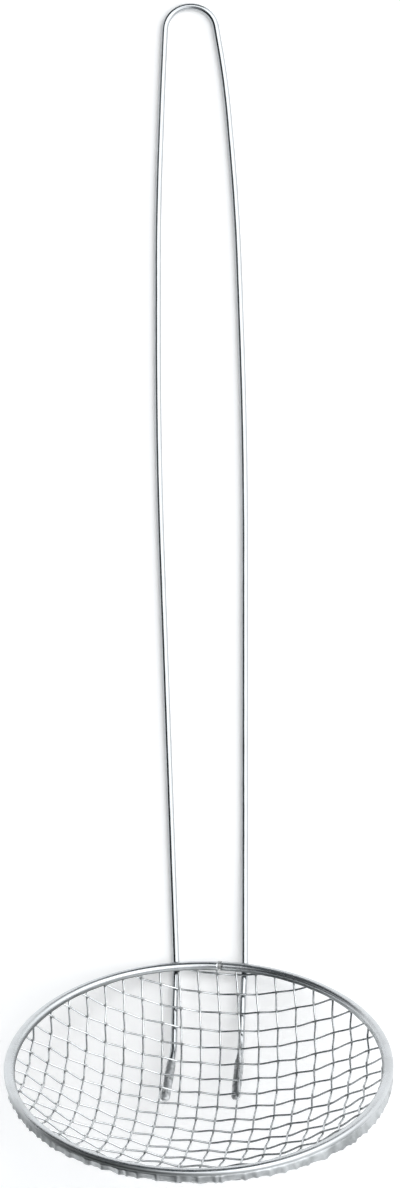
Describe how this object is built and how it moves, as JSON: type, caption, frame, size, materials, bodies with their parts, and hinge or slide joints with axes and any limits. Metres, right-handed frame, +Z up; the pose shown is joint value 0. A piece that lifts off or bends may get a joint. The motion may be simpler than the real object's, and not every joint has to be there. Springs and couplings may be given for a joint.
{
  "type": "spider skimmer",
  "caption": "Round woven wire skimmer basket in a rolled rim, on a long handle bent from one wire, ending in a hanging loop.",
  "frame": {"origin": "under the middle of the skimmer's bounding box, on the table that it lies on", "axes": "+Y along the handle from the basket to the hanging loop, +Z up from the table, +X to the right seen from the basket"},
  "size_m": [0.14, 0.4588, 0.1099],
  "materials": {
    "handle_wire": "bright nickel plating on drawn steel wire",
    "rim_strip": "bright nickel plating on rolled steel strip",
    "mesh_wire": "bright nickel plating on crimped steel wire",
    "weld_metal": "dull spot welds, plated over"
  },
  "bodies": {
    "root": {"handle_wire": "handle_wire", "rim": "rim_strip", "rim_seam_weld": "weld_metal", "left_rim_weld": "weld_metal", "right_rim_weld": "weld_metal", "left_mesh_weld": "weld_metal", "right_mesh_weld": "weld_metal", "warp_wire_01": "mesh_wire", "warp_wire_02": "mesh_wire", "warp_wire_03": "mesh_wire", "warp_wire_04": "mesh_wire", "warp_wire_05": "mesh_wire", "warp_wire_06": "mesh_wire", "warp_wire_07": "mesh_wire", "warp_wire_08": "mesh_wire", "warp_wire_09": "mesh_wire", "warp_wire_10": "mesh_wire", "warp_wire_11": "mesh_wire", "warp_wire_12": "mesh_wire", "warp_wire_13": "mesh_wire", "warp_wire_14": "mesh_wire", "warp_wire_15": "mesh_wire", "warp_wire_16": "mesh_wire", "warp_wire_17": "mesh_wire", "warp_wire_18": "mesh_wire", "warp_wire_19": "mesh_wire", "warp_wire_20": "mesh_wire", "weft_wire_01": "mesh_wire", "weft_wire_02": "mesh_wire", "weft_wire_03": "mesh_wire", "weft_wire_04": "mesh_wire", "weft_wire_05": "mesh_wire", "weft_wire_06": "mesh_wire", "weft_wire_07": "mesh_wire", "weft_wire_08": "mesh_wire", "weft_wire_09": "mesh_wire", "weft_wire_10": "mesh_wire", "weft_wire_11": "mesh_wire", "weft_wire_12": "mesh_wire", "weft_wire_13": "mesh_wire", "weft_wire_14": "mesh_wire", "weft_wire_15": "mesh_wire", "weft_wire_16": "mesh_wire", "weft_wire_17": "mesh_wire", "weft_wire_18": "mesh_wire", "weft_wire_19": "mesh_wire", "weft_wire_20": "mesh_wire", "weft_wire_21": "mesh_wire", "weft_wire_22": "mesh_wire"}
  },
  "joints": []
}
